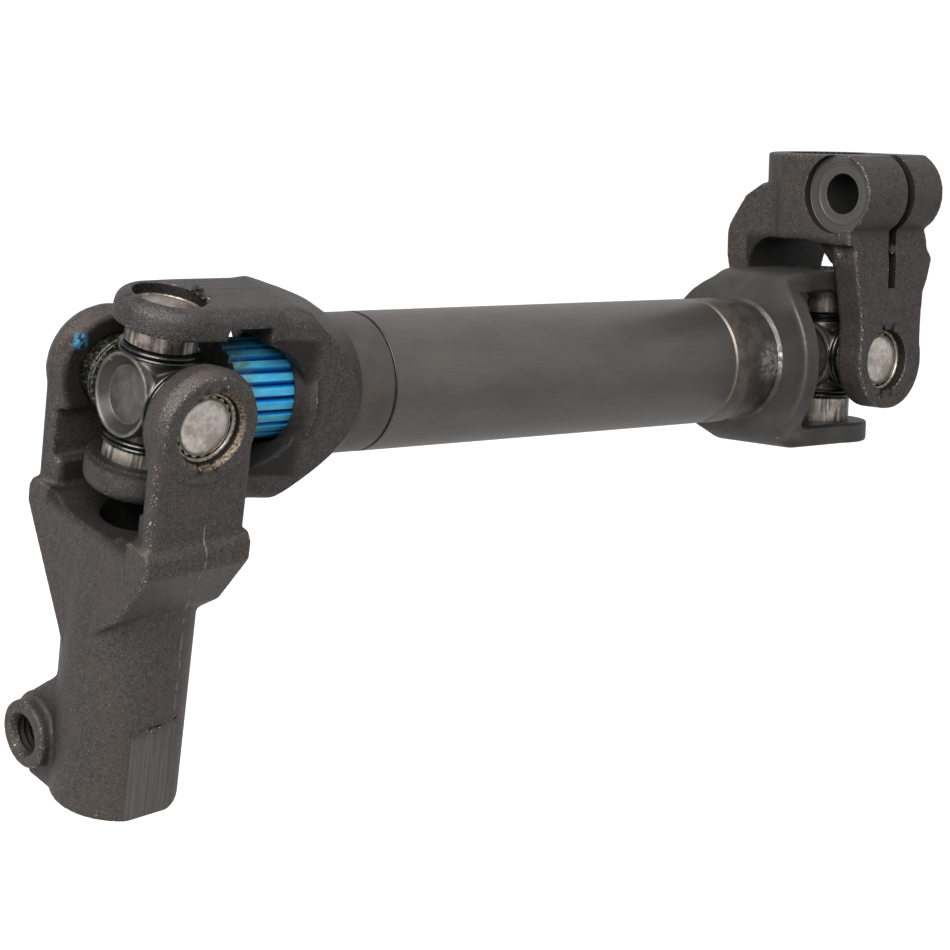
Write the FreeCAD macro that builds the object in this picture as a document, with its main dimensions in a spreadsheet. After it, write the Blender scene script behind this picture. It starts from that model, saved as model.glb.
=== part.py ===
"""Steering shaft with a cross joint at each end and a splined telescopic tube.

+X runs along the tube from the steering gear's end to the column's end, and +Z is the pin
axis of the tube's own fork. The origin is on the tube's axis, at the middle of its plain length.
Each fork is modelled about its cross centre, with its pin along Y and its stem towards -Z,
and is then turned into place.
"""
import FreeCAD, Part
import os
import re
import Sketcher
from math import cos, pi, sin

DIMENSIONS = [
    # the tube and the stations along it
    ("tube_radius", 16.0, "outer radius of the telescopic tube"),
    ("tube_length", 115.2, "plain length of the tube"),
    ("tube_reach", 56.4, "lower cross centre to the start of the tube"),
    ("end_gap", 0.5, "gap between tube and stop ring, fully pushed together"),
    ("ring_width", 8.0, "width of the stop ring"),
    ("neck_width", 9.4, "width of the shaft's head behind the stop ring"),
    ("neck_radius", 15.4, "radius of the shaft's head"),
    ("bead_width", 0.8, "leg of the weld bead between head and strap"),
    # the spline
    ("spline_root", 9.6, "root radius of the steel spline"),
    ("spline_tip", 10.9, "tip radius of the steel spline"),
    ("tooth_root_half", 0.85, "half width of a tooth at its root"),
    ("tooth_tip_half", 0.65, "half width of a tooth at its tip"),
    ("coat", 0.35, "thickness of the sliding coat"),
    ("spline_play", 0.1, "clearance round the coated spline"),
    ("spline_teeth", 22, "number of teeth"),
    ("shaft_start", 15.0, "lower cross centre to the end of the splined shaft"),
    ("coat_length", 122.0, "length of the coated stretch"),
    ("shank_radius", 9.0, "radius of the shaft behind its spline"),
    # crosses, cups, needles and seals
    ("cup_radius", 8.0, "outer radius of a bearing cup"),
    ("cup_face", 20.7, "cross centre to the outer face of a cup"),
    ("cup_mouth", 11.4, "cross centre to the mouth of a cup"),
    ("cup_wall", 1.0, "wall of a cup"),
    ("cup_floor", 1.1, "floor of a cup"),
    ("cup_edge", 0.6, "chamfer round a cup's outer face"),
    ("trunnion_radius", 5.0, "radius of a cross trunnion"),
    ("running", 0.03, "radial play each side of a needle"),
    ("end_play", 0.05, "play between trunnion end and cup floor"),
    ("needle_length", 7.2, "length of a needle"),
    ("needle_count", 18, "needles in a cup"),
    ("hub_radius", 9.2, "radius of the cross hub's round faces"),
    ("hub_half", 8.05, "cross centre to a round face"),
    ("recess_radius", 8.2, "mouth radius of the recess in a round face"),
    ("recess_floor", 6.3, "floor radius of that recess"),
    ("recess_depth", 2.0, "depth of that recess"),
    ("root_radius", 7.8, "radius of the trunnion root under a seal"),
    ("root_length", 9.25, "cross centre to the shoulder under a seal"),
    ("seal_radius", 8.9, "radius over a seal's lips"),
    ("seal_gap", 0.2, "gap between seal and cup mouth"),
    # every fork
    ("ear_face", 22.3, "cross centre to the outer face of an ear"),
    ("fork_gap", 14.3, "cross centre to the inner face of a forged ear"),
    ("relief_start", 8.2, "cross centre to the start of a relieved inner face"),
    ("relief_end", 20.0, "cross centre to the end of a relieved inner face"),
    ("pin_phase", 16.0, "turn of the upper joint about the tube's axis"),
    # the tube's forged fork
    ("tube_ear_radius", 11.8, "radius of its ears"),
    ("tube_nose", 0.6, "centre of its rounded nose to the cross centre"),
    ("tube_gap", 15.6, "cross centre to the inner face of its upper ear"),
    ("tube_relief", 18.4, "cross centre to the floor of the pocket behind its upper ear"),
    ("tube_arm_half", 12.2, "half width of its arms"),
    ("tube_back_half", 16.4, "half width of its back"),
    ("tube_throat_centre", 18.0, "cross centre to the centre of its throat"),
    ("tube_shoulder", 28.0, "cross centre to the end of its flat outer faces"),
    ("tube_shoulder_radius", 25.6, "radius of the cone that rounds its back, at that place"),
    ("tube_back_radius", 16.3, "radius of that cone at the collar"),
    ("tube_flare", 24.0, "cross centre to the start of its flaring sides"),
    ("tube_flare_end", 14.4, "end of its flaring sides to the start of the tube"),
    ("tube_mid", 18.4, "break in its sloping back to the start of the tube"),
    ("tube_mid_face", 20.6, "half height at that break"),
    ("tube_rim", 29.2, "cross centre to the rim round its bore"),
    ("tube_rim_radius", 12.9, "outer radius of that rim"),
    ("collar_width", 10.8, "width of its turned collar"),
    ("tube_fork_bore", 12.4, "radius of its bore round the splined shaft"),
    # the gear's forged fork
    ("gear_lean", 6.5, "lean of its socket from the square, towards the tube"),
    ("gear_ear_radius", 13.8, "radius of its ears at their outer face"),
    ("gear_ear_inner", 12.3, "radius of its ears at their inner face"),
    ("gear_half", 13.9, "half width of its arms at their outer face"),
    ("gear_half_inner", 10.8, "half width of its arms at their inner face"),
    ("gear_relief", 17.0, "cross centre to the forged inner face below an ear"),
    ("gear_arm_face", 21.3, "cross centre to the outer face of its arms"),
    ("pad_radius", 12.2, "radius of the raised pad round a cup"),
    ("gear_throat", 28.5, "cross centre to the floor of its throat"),
    ("gear_throat_round", 8.5, "corner radius of its throat"),
    ("gear_shoulder", 28.0, "cross centre to its shoulders"),
    ("gear_shoulder_face", 22.6, "half width over its shoulders"),
    ("gear_shoulder_drop", 4.4, "height of its shoulders"),
    ("gear_run_out", 61.0, "cross centre to where its back slope meets the barrel"),
    ("gear_ledge", 45.8, "cross centre to the ledge under its shoulders"),
    ("gear_ledge_half", 14.0, "half width of the ledge"),
    ("gear_barrel_radius", 14.6, "radius of its socket barrel"),
    ("gear_length", 98.1, "cross centre to the mouth of its socket"),
    ("gear_bore", 8.5, "radius of its socket"),
    ("gear_bolt_side", 13.4, "socket axis to its pinch bolt axis"),
    ("gear_bolt_up", 11.7, "mouth of its socket to its pinch bolt axis"),
    ("gear_lug_radius", 10.0, "radius of its pinch lug"),
    ("gear_boss_radius", 8.0, "radius of the threaded boss"),
    ("gear_lug_face", 16.6, "socket axis to the boss's faces"),
    ("gear_lug_half", 12.8, "half width of the lug beside the boss"),
    ("gear_lug_rise", 14.0, "length over which the lug runs out up the barrel"),
    ("thread_radius", 4.3, "radius of the threaded hole"),
    ("slit_width", 3.0, "width of a clamping slit"),
    ("gear_slit_length", 38.0, "length of the slit in the gear's socket"),
    ("broach_half", 8.6, "half width of the shaved patch beside the mouth"),
    ("broach_height", 24.0, "height of the shaved patch"),
    ("broach_depth", 13.9, "socket axis to the shaved patch"),
    # the column's forged fork
    ("column_ear_radius", 13.0, "radius of its ears"),
    ("column_offset", 1.7, "offset of its ears from the pin's axis, away from the bolt head"),
    ("column_half", 10.9, "half width of its arms on the bolt head side"),
    ("column_half_far", 14.1, "half width of its arms on the other side"),
    ("column_bump", 18.0, "half width over the bump on that side"),
    ("column_bump_low", 26.4, "cross centre to that bump"),
    ("column_lean", -1.2, "lean of its socket from the square, towards the tube's far end"),
    ("column_shoulder_half", 14.6, "half width over its shoulders"),
    ("column_shoulder", 26.0, "cross centre to where its arms have widened"),
    ("column_shoulder_end", 33.5, "cross centre to the end of its shoulders"),
    ("column_shoulder_round", 8.0, "rounding of its shoulders"),
    ("column_shoulder_mid", 16.2, "half width at the middle of their slope"),
    ("column_shoulder_foot", 9.5, "socket axis to where its shoulders run out"),
    ("column_shoulder_low", 46.2, "cross centre to where its shoulders run out"),
    ("column_throat", 31.3, "cross centre to the floor of its throat"),
    ("column_throat_round", 8.0, "corner radius of its throat"),
    ("column_length", 53.8, "cross centre to the mouth of its socket"),
    ("column_barrel_radius", 15.7, "radius of its socket barrel"),
    ("column_bore", 10.2, "radius of its socket"),
    ("column_bolt_side", 16.8, "socket axis to its pinch bolt axis"),
    ("column_bolt_down", 10.0, "mouth of its socket to its pinch bolt axis"),
    ("column_lug_radius", 10.9, "radius of its pinch lug"),
    ("column_lug_face", 17.0, "socket axis to the lug's face on the bolt head side"),
    ("column_lug_back", 14.5, "socket axis to the lug's face on the other side"),
    ("column_flank_side", 6.0, "socket axis to the rounded end of the lug's flank"),
    ("bolt_hole", 5.25, "radius of a pinch bolt's clearance hole"),
    ("spot_radius", 10.4, "radius of the spot face"),
    ("spot_depth", 2.6, "depth of the spot face"),
    ("column_slit_start", 19.0, "cross centre to the closed end of its slit"),
    ("column_slit_side", 0.7, "offset of its slit from the socket axis"),
    # the strap fork
    ("strap_face", 23.0, "cross centre to the outer faces of its arms"),
    ("strap_thickness", 5.5, "thickness of the bent strap"),
    ("strap_depth", 35.5, "cross centre to the outer face of its base"),
    ("strap_half", 12.5, "half width of its arms"),
    ("strap_ear_radius", 12.9, "radius of its ears"),
    ("strap_base_radius", 24.2, "radius of its wide round base"),
    ("strap_bend", 11.0, "outer radius of its bends"),
    ("strap_inner_bend", 5.5, "inner radius of its bends"),
    ("strap_hub_bore", 6.0, "radius of the spigot hole in its base"),
    # edges
    ("edge", 2.0, "rounding of forged edges"),
    ("soft_edge", 3.4, "rounding of the tube fork's edges"),
]
NAMES = [name for name, number, note in DIMENSIONS]
V = FreeCAD.Vector

doc = FreeCAD.newDocument("SteeringShaft")
sizes = doc.addObject("Spreadsheet::Sheet", "Sizes")
for row, (name, number, note) in enumerate(DIMENSIONS, 1):
    sizes.set("A%d" % row, note)
    sizes.set("B%d" % row, str(number))
    sizes.setAlias("B%d" % row, name)
doc.recompute()


def linked(text):
    """Turn the dimension names in a text into references to the sheet."""
    return re.sub(r"[a-z_]+", lambda m: "Sizes." + m.group() if m.group() in NAMES else m.group(), text)


def bind(obj, **sizes_of):
    """Bind properties to texts of dimension names; a double underscore stands for a dot."""
    for prop, text in sizes_of.items():
        obj.setExpression(prop.replace("__", "."), linked(text))
    return obj


def number(name):
    """Read one dimension from the sheet."""
    return float(sizes.get(name))


TURN = {
    "x": FreeCAD.Rotation(V(0, 1, 0), 90),
    "y": FreeCAD.Rotation(V(1, 0, 0), -90),
    "z": FreeCAD.Rotation(),
}


def at(obj, x, y, z, turn=None):
    """Put a primitive at a place given by dimension names."""
    if turn is not None:
        obj.Placement = FreeCAD.Placement(V(), turn)
    return bind(obj, Placement__Base__x=x, Placement__Base__y=y, Placement__Base__z=z)


def rod(name, radius, length, axis, x="0", y="0", z="0"):
    """A round bar from (x, y, z) along +X, +Y or +Z."""
    bar = doc.addObject("Part::Cylinder", name)
    bind(bar, Radius=radius, Height=length)
    return at(bar, x, y, z, TURN[axis])


def cone(name, start_radius, end_radius, length, axis, x="0", y="0", z="0"):
    """A tapered round bar from (x, y, z) along +X, +Y or +Z."""
    bar = doc.addObject("Part::Cone", name)
    bind(bar, Radius1=start_radius, Radius2=end_radius, Height=length)
    return at(bar, x, y, z, TURN[axis])


def block(name, x, y, z):
    """A box between two texts on each axis."""
    box = doc.addObject("Part::Box", name)
    lengths = ["(%s) - (%s)" % (high, low) for low, high in (x, y, z)]
    bind(box, Length=lengths[0], Width=lengths[1], Height=lengths[2])
    return at(box, x[0], y[0], z[0])


def fuse(name, parts):
    obj = doc.addObject("Part::MultiFuse", name)
    obj.Shapes = parts
    obj.Refine = True
    return obj


def cut(name, base, tools):
    """Take each tool away in turn."""
    for index, tool in enumerate(tools):
        obj = doc.addObject("Part::Cut", "%s_%d" % (name, index))
        obj.Base = base
        obj.Tool = tool
        obj.Refine = True
        base = obj
    return base


def common(name, base, tool):
    obj = doc.addObject("Part::MultiCommon", name)
    obj.Shapes = [base, tool]
    obj.Refine = True
    return obj


def rounded(name, base, radius, pick):
    """Round the edges that pick(edge) accepts."""
    doc.recompute()
    obj = doc.addObject("Part::Fillet", name)
    obj.Base = base
    chosen = [i for i, edge in enumerate(base.Shape.Edges, 1) if pick(edge)]
    obj.Edges = [(i, number(radius), number(radius)) for i in chosen]
    doc.recompute()
    return obj


def ring_of_lines(sketch, corners):
    """Draw a closed outline whose corners are bound to texts of dimension names."""
    count = len(corners)
    spots = [V(cos(2 * pi * i / count), sin(2 * pi * i / count), 0) for i in range(count)]
    for i in range(count):
        sketch.addGeometry(Part.LineSegment(spots[i], spots[(i + 1) % count]), False)
    for i in range(count):
        sketch.addConstraint(Sketcher.Constraint("Coincident", i, 2, (i + 1) % count, 1))
    for i, corner in enumerate(corners):
        across, up = corner
        for kind, start, text in (("DistanceX", spots[i].x, across), ("DistanceY", spots[i].y, up)):
            index = sketch.addConstraint(Sketcher.Constraint(kind, -1, 1, i, 1, start))
            label = "corner_%d_%s" % (i, kind[-1].lower())
            sketch.renameConstraint(index, label)
            sketch.setExpression("Constraints." + label, linked(text))
    return sketch


def mirrored(points):
    """Add the mirror image of an open outline across its second axis."""
    return points + [("-(%s)" % across, along) for across, along in reversed(points)]


def prism(name, corners, axis, width):
    """An outline drawn across X (as Y, Z) or across Y (as X, Z), drawn out to both sides."""
    sketch = doc.addObject("Sketcher::SketchObject", name + "_outline")
    if axis == "x":
        sketch.Placement.Rotation = FreeCAD.Rotation(V(1, 1, 1), 120)
    else:
        sketch.Placement.Rotation = FreeCAD.Rotation(V(1, 0, 0), 90)
    ring_of_lines(sketch, corners)
    solid = doc.addObject("Part::Extrusion", name)
    solid.Base = sketch
    solid.DirMode = "Custom"
    solid.Dir = V(1, 0, 0) if axis == "x" else V(0, 1, 0)
    solid.Symmetric = True
    solid.Solid = True
    return bind(solid, LengthFwd=width)


def origin_feature(body, role):
    return [item for item in body.Origin.OriginFeatures if item.Role == role][0]


def drawn_on(body, name, role):
    """A sketch on one of a body's own origin planes."""
    sketch = body.newObject("Sketcher::SketchObject", name)
    sketch.AttachmentSupport = [(origin_feature(body, role), "")]
    sketch.MapMode = "FlatFace"
    return sketch


def turned(name, corners):
    """A body turned about Z from corners given as radius and height."""
    body = doc.addObject("PartDesign::Body", name)
    sketch = ring_of_lines(drawn_on(body, name + "_section", "XZ_Plane"), corners)
    solid = body.newObject("PartDesign::Revolution", name + "_turned")
    solid.Profile = sketch
    solid.ReferenceAxis = (sketch, ["V_Axis"])
    solid.Angle = 360
    return body


def spline_bar(name, grow, length, start):
    """A toothed bar along X, larger all round than the steel spline by grow."""
    body = doc.addObject("PartDesign::Body", name)
    circle = drawn_on(body, name + "_circle", "YZ_Plane")
    circle.addGeometry(Part.Circle(V(), V(0, 0, 1), 1), False)
    circle.addConstraint(Sketcher.Constraint("Coincident", 0, 3, -1, 1))
    circle.addConstraint(Sketcher.Constraint("Radius", 0, 1))
    circle.renameConstraint(1, "radius")
    circle.setExpression("Constraints.radius", linked("spline_root + %s" % grow))
    bar = body.newObject("PartDesign::Pad", name + "_bar")
    bar.Profile = circle
    bind(bar, Length=length)
    low = ("tooth_root_half + %s" % grow, "spline_root + %s - 1" % grow)
    high = ("tooth_tip_half + %s" % grow, "spline_tip + %s" % grow)
    tooth = drawn_on(body, name + "_tooth", "YZ_Plane")
    ring_of_lines(tooth, mirrored([low, high]))
    pad = body.newObject("PartDesign::Pad", name + "_tooth_pad")
    pad.Profile = tooth
    bind(pad, Length=length)
    doc.recompute()
    teeth = body.newObject("PartDesign::PolarPattern", name + "_teeth")
    teeth.Originals = [pad]
    teeth.Axis = (origin_feature(body, "X_Axis"), [""])
    teeth.Angle = 360
    bind(teeth, Occurrences="spline_teeth")
    body.Tip = teeth
    return at(body, start, "0", "0")


# Places along the tube, as texts of dimension names
TUBE_START = "-tube_length / 2"
LOWER_X = "-tube_length / 2 - tube_reach"
RING_START = "tube_length / 2 + end_gap"
NECK_START = "tube_length / 2 + end_gap + ring_width"
STRAP_START = "tube_length / 2 + end_gap + ring_width + neck_width"
UPPER_X = "tube_length / 2 + end_gap + ring_width + neck_width + strap_depth"
SHAFT_START = "-tube_length / 2 - tube_reach + shaft_start"

COLLAR_START = "(tube_reach - collar_width)"

# Turns from a fork's own frame, pin along Y and stem towards -Z, into place
PLACE = "placement(vector(%s; 0; 0); %s)"
TUBE_FORK = PLACE % (LOWER_X, "rotation(vector(1; -1; -1); 120)")
GEAR_FORK = PLACE % (LOWER_X, "rotation(vector(0; 1; 0); -gear_lean)")
PHASE = "rotation(vector(1; 0; 0); -pin_phase)"
STRAP_FORK = PLACE % (UPPER_X, PHASE + " * rotation(vector(1; 1; 1); 120)")
COLUMN_FORK = PLACE % (UPPER_X, PHASE + " * rotation(vector(0; 1; 0); 180 + column_lean)")
UPPER_CROSS = PLACE % (UPPER_X, PHASE)
LOWER_CROSS = PLACE % (LOWER_X, "rotation(vector(0; 1; 0); 0)")
# A bearing's own axis is +Z, away from the cross centre
BEARING_TURNS = {
    "top": "rotation(vector(0; 1; 0); 0)",
    "bottom": "rotation(vector(1; 0; 0); 180)",
    "back": "rotation(vector(1; 0; 0); -90)",
    "front": "rotation(vector(1; 0; 0); 90)",
}
nodes = []


def node(name, solid, placement=None):
    """Keep a finished piece under its name."""
    solid.Label = name
    if placement is not None:
        bind(solid, Placement=placement)
    nodes.append(solid)
    return solid


def along_x(edge):
    return abs(edge.BoundBox.XLength - edge.Length) < 1e-4


def throat(name, half, depth, corner):
    """The gap of a forged fork: open towards +Z, with rounded corners at its floor."""
    gap = block(name + "_box", ("-40", "40"), ("-(%s)" % half, half), ("-(%s)" % depth, "40"))
    floor = -number(depth)
    return rounded(name, gap, corner, lambda e: along_x(e) and e.BoundBox.ZMax < floor + 0.01)


def cup_holes(name):
    return rod(name, "cup_radius", "80", "y", y="-40")


def gear_fork():
    """The lower forging: two padded ears, square shoulders and a split socket."""
    bolt_z = "-gear_length + gear_bolt_up"
    shoulder_end = "-gear_shoulder - gear_shoulder_drop"
    body = prism("gear_side", [
        ("gear_arm_face", "-gear_shoulder + 2"),
        ("gear_shoulder_face", "-gear_shoulder"),
        ("gear_shoulder_face", shoulder_end),
        ("gear_barrel_radius / 3", "-gear_run_out"),
        ("-gear_ledge_half", "-gear_ledge"),
        ("-gear_shoulder_face", shoulder_end),
        ("-gear_shoulder_face", "-gear_shoulder"),
        ("-gear_arm_face", "-gear_shoulder + 2"),
    ], "x", "2 * gear_half")
    face = number("gear_arm_face")

    def outer_edge(edge):
        """The upright edges of an arm's outer face, or the rim of an ear's."""
        box = edge.BoundBox
        return abs(abs(box.Center.y) - face) < 0.01 and box.YLength < 0.01 and not along_x(edge)

    solids = [body]
    widths = ["gear_half_inner", "gear_half"]
    radii = ["gear_ear_inner", "gear_ear_radius"]
    depth = "gear_arm_face - fork_gap"
    for side, start in (("back", "fork_gap"), ("front", "-gear_arm_face")):
        arm = doc.addObject("Part::Wedge", "gear_arm_" + side)
        bind(arm, Ymin=start, Ymax=start + " + " + depth, Zmax="0", Z2max="0",
             Xmin="-" + widths[0], Xmax=widths[0], X2min="-" + widths[1], X2max=widths[1],
             Zmin="-gear_shoulder", Z2min="-gear_shoulder")
        ear = cone("gear_ear_" + side, radii[0], radii[1], depth, "y", y=start)
        solids.append(rounded("gear_arm_%s_soft" % side, arm, "edge", outer_edge))
        solids.append(rounded("gear_ear_%s_soft" % side, ear, "edge", outer_edge))
        widths.reverse()
        radii.reverse()
    gap = throat("gear_gap", "fork_gap", "gear_throat", "gear_throat_round")
    relief = block("gear_relieved", ("-40", "40"), ("-gear_relief", "gear_relief"),
                   ("-relief_end", "-relief_start"))
    fork = cut("gear_fork_open", fuse("gear_fork_block", solids), [gap, relief])
    barrel = rod("gear_barrel", "gear_barrel_radius", "gear_length - gear_shoulder - 20", "z",
                 z="-gear_length")
    neck = cone("gear_neck", "gear_barrel_radius", "gear_half", "16", "z", z="-gear_shoulder - 20")
    lug = rod("gear_lug", "gear_lug_radius", "2 * gear_lug_half", "x",
              x="-gear_lug_half", y="gear_bolt_side - gear_lug_radius / 8", z=bolt_z)
    web = prism("gear_web", [
        ("0", "-gear_length"),
        ("gear_bolt_side + 2", "-gear_length"),
        ("gear_bolt_side + gear_lug_radius * 0.6", bolt_z),
        ("gear_bolt_side + gear_lug_radius * 0.25", bolt_z + " + gear_lug_radius * 0.98"),
        ("0", bolt_z + " + gear_lug_radius + gear_lug_rise"),
    ], "x", "2 * gear_lug_half")
    boss = rod("gear_boss", "gear_boss_radius", "2 * gear_lug_face", "x",
               x="-gear_lug_face", y="gear_bolt_side", z=bolt_z)
    pads = rod("gear_pads", "pad_radius", "2 * ear_face", "y", y="-ear_face")
    pad_gap = block("gear_pad_gap", ("-40", "40"), ("-gear_relief", "gear_relief"), ("-40", "40"))
    pads = cut("gear_pads_open", pads, [pad_gap])
    whole = fuse("gear_whole", [fork, barrel, neck, lug, web, boss, pads])
    under = block("gear_under", ("-60", "60"), ("-60", "60"), ("-gear_length - 40", "-gear_length"))
    bore = rod("gear_socket", "gear_bore", "gear_length", "z", z="-gear_length - 1")
    slit = block("gear_slit", ("-slit_width / 2", "slit_width / 2"), ("0", "40"),
                 ("-gear_length - 1", "-gear_length + gear_slit_length"))
    thread = rod("gear_thread", "thread_radius", "40", "x", x="-40", y="gear_bolt_side", z=bolt_z)
    entry = rod("gear_bolt_entry", "bolt_hole", "40", "x", y="gear_bolt_side", z=bolt_z)
    patch = block("gear_shaved", ("-broach_half", "broach_half"), ("-40", "-broach_depth"),
                  ("-gear_length - 1", "-gear_length + broach_height"))
    holes = cup_holes("gear_ear_holes")
    whole = cut("gear_cut", whole, [under, bore, slit, thread, entry, patch, holes])
    node("gear_yoke", whole, GEAR_FORK)


def tube_fork():
    """The tube's forging: two ears that run into a round back and a turned collar."""
    side = [
        ("ear_face", "-tube_nose"),
        ("ear_face", "-tube_shoulder"),
        ("tube_mid_face", "tube_mid - tube_reach"),
        ("tube_back_radius", "-" + COLLAR_START),
    ]
    front = [
        ("tube_ear_radius", "-tube_nose"),
        ("tube_arm_half", "-relief_start"),
        ("tube_arm_half", "-tube_flare"),
        ("tube_back_half", "tube_flare_end - tube_reach"),
        ("tube_back_half", "-" + COLLAR_START),
    ]
    body = common("tube_fork_block",
                  prism("tube_fork_side", mirrored(side), "x", "2 * tube_back_half"),
                  prism("tube_fork_front", mirrored(front), "y", "2 * ear_face"))
    ears = rod("tube_fork_ears", "tube_ear_radius", "2 * ear_face", "y", y="-ear_face", z="-tube_nose")
    body = fuse("tube_fork_solid", [body, ears])

    def outer_edge(edge):
        return abs(edge.BoundBox.Center.y) > number("ear_face") - 0.2 and not along_x(edge)

    body = rounded("tube_fork_soft", body, "soft_edge", outer_edge)
    taper = "(tube_shoulder_radius - tube_back_radius) / (%s - tube_shoulder)" % COLLAR_START
    reach = "(%s + tube_ear_radius + 1)" % COLLAR_START
    shaper = cone("tube_fork_cone", "tube_back_radius", "tube_back_radius + %s * %s" % (taper, reach),
                  reach, "z", z="-" + COLLAR_START)
    body = common("tube_fork_round", body, shaper)
    gap = block("tube_fork_gap", ("-40", "40"), ("-fork_gap", "fork_gap"), ("-tube_throat_centre", "40"))
    gap_end = rod("tube_fork_gap_end", "fork_gap", "80", "x", x="-40", z="-tube_throat_centre")
    upper = block("tube_fork_upper_gap", ("-40", "40"), ("0", "tube_gap"), ("-relief_start - 1", "40"))
    relief = block("tube_fork_relieved", ("-40", "40"), ("0", "tube_relief"),
                   ("-relief_end", "-relief_start"))
    body = cut("tube_fork_open", body, [gap, gap_end, upper, relief])
    collar = rod("tube_fork_collar", "tube_radius", "collar_width + 4", "z", z="-tube_reach")
    floor = "tube_throat_centre + fork_gap"
    rim = cone("tube_fork_rim", "tube_rim_radius + 3.6", "tube_rim_radius",
               "%s - tube_rim + 1" % floor, "z", z="-(%s) - 1" % floor)
    body = fuse("tube_fork_whole", [body, collar, rim])
    bore = rod("tube_fork_bore", "tube_fork_bore", "tube_reach", "z", z="-tube_reach - 1")
    body = cut("tube_fork_cut", body, [bore, cup_holes("tube_fork_ear_holes")])
    node("tube_yoke", body, TUBE_FORK)


def column_fork():
    """The upper forging: ears, shoulders and a short split socket with a bolt lug."""
    bolt_z = "-column_length + column_bolt_down"
    ears = rod("column_ears", "column_ear_radius", "2 * ear_face", "y", x="-column_offset", y="-ear_face")
    side = [
        ("ear_face", "0"),
        ("ear_face", "-column_shoulder_end"),
        ("column_shoulder_mid", "4 - column_shoulder_low"),
        ("column_shoulder_foot", "-column_shoulder_low"),
    ]
    front = [
        ("column_half", "0"),
        ("column_half", "-10"),
        ("column_shoulder_half - 1.5", "6 - column_shoulder"),
        ("column_shoulder_half", "-column_shoulder"),
        ("column_shoulder_half", bolt_z + " - 2"),
        ("-column_lug_back", bolt_z + " - 2"),
        ("-column_lug_back", bolt_z + " + column_lug_radius * 0.7"),
        ("2.2 - column_bump", "-column_bump_low - 2.6"),
        ("-column_bump", "-column_bump_low"),
        ("1.8 - column_bump", "6 - column_bump_low"),
        ("-column_half_far - 0.6", "9 - column_bump_low"),
        ("-column_half_far", "-9"),
        ("-column_half_far", "0"),
    ]
    shoulders = prism("column_side", mirrored(side), "x", "2 * column_bump")
    turn_in = number("column_shoulder_end")
    shoulders = rounded("column_side_soft", shoulders, "column_shoulder_round",
                        lambda e: along_x(e) and abs(e.BoundBox.ZMin + turn_in) < 0.01)
    body = common("column_block", shoulders,
                  prism("column_front", front, "y", "2 * ear_face"))
    barrel = rod("column_barrel", "column_barrel_radius", "column_length - column_throat", "z",
                 z="-column_length")
    lug = rod("column_lug", "column_lug_radius", "column_lug_face + column_lug_back", "x",
              x="-column_lug_back", y="-column_bolt_side", z=bolt_z)
    flank = block("column_flank", ("-column_lug_back", "column_lug_face"),
                  ("-column_bolt_side - 5", "column_flank_side"),
                  ("-column_length - 2", "-column_shoulder_end + 3"))

    def flank_end(edge):
        middle = edge.BoundBox.Center
        upright = edge.BoundBox.ZLength > edge.Length - 0.01
        return upright and middle.x > 0 and middle.y > 0

    flank = rounded("column_flank_round", flank, "column_flank_side", flank_end)
    body = fuse("column_solid", [ears, body, barrel, lug, flank])
    above = block("column_above", ("-60", "60"), ("-60", "60"), ("-column_length - 40", "-column_length"))
    gap = throat("column_gap", "fork_gap", "column_throat", "column_throat_round")
    bore = rod("column_socket", "column_bore", "column_length", "z", z="-column_length - 1")
    slit = block("column_slit",
                 ("-column_slit_side - slit_width / 2", "-column_slit_side + slit_width / 2"),
                 ("-60", "0"), ("-column_length - 1", "-column_slit_start"))
    hole = rod("column_bolt_hole", "bolt_hole", "80", "x", x="-40", y="-column_bolt_side", z=bolt_z)
    spot = rod("column_spot", "spot_radius", "40", "x", x="column_lug_face - spot_depth",
               y="-column_bolt_side", z=bolt_z)
    body = cut("column_cut", body, [above, gap, bore, slit, hole, spot, cup_holes("column_ear_holes")])
    node("column_yoke", body, COLUMN_FORK)


def strap_fork():
    """The strap fork: a thick strap bent to a U, wide and round at its base."""
    outer = block("strap_outer", ("-strap_base_radius", "strap_base_radius"), ("-strap_face", "strap_face"),
                  ("-strap_depth", "strap_ear_radius"))
    floor = -number("strap_depth")
    outer = rounded("strap_outer_bent", outer, "strap_bend",
                    lambda e: along_x(e) and e.BoundBox.ZMax < floor + 0.01)
    inner = block("strap_inner", ("-40", "40"),
                  ("strap_thickness - strap_face", "strap_face - strap_thickness"),
                  ("-strap_depth + strap_thickness", "40"))
    inner_floor = floor + number("strap_thickness")
    inner = rounded("strap_inner_bent", inner, "strap_inner_bend",
                    lambda e: along_x(e) and e.BoundBox.ZMax < inner_floor + 0.01)
    strap = cut("strap_bent", outer, [inner])
    arms = block("strap_arms", ("-strap_half", "strap_half"), ("-40", "40"), ("-60", "0"))
    ears = rod("strap_ears", "strap_ear_radius", "80", "y", y="-40")
    waist = prism("strap_waist", mirrored([
        ("strap_base_radius", "-strap_depth"),
        ("strap_base_radius", "1 + strap_thickness - strap_depth"),
        ("strap_base_radius * 0.8", "strap_thickness + 2 - strap_depth"),
        ("strap_half + 2.8", "strap_thickness + 4 - strap_depth"),
        ("strap_half + 0.9", "strap_thickness + 6.6 - strap_depth"),
        ("strap_half", "strap_thickness + 10 - strap_depth"),
    ]), "y", "80")
    base = rod("strap_base", "strap_base_radius", "strap_bend + 9", "z", z="-strap_depth")
    base = common("strap_waisted", base, waist)
    blank = fuse("strap_blank", [arms, ears, base])
    strap = common("strap_shape", strap, blank)
    spigot = rod("strap_spigot_hole", "strap_hub_bore", "20", "z", z="-strap_depth - 1")
    strap = cut("strap_cut", strap, [spigot, cup_holes("strap_ear_holes")])
    node("strap_yoke", strap, STRAP_FORK)


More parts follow.
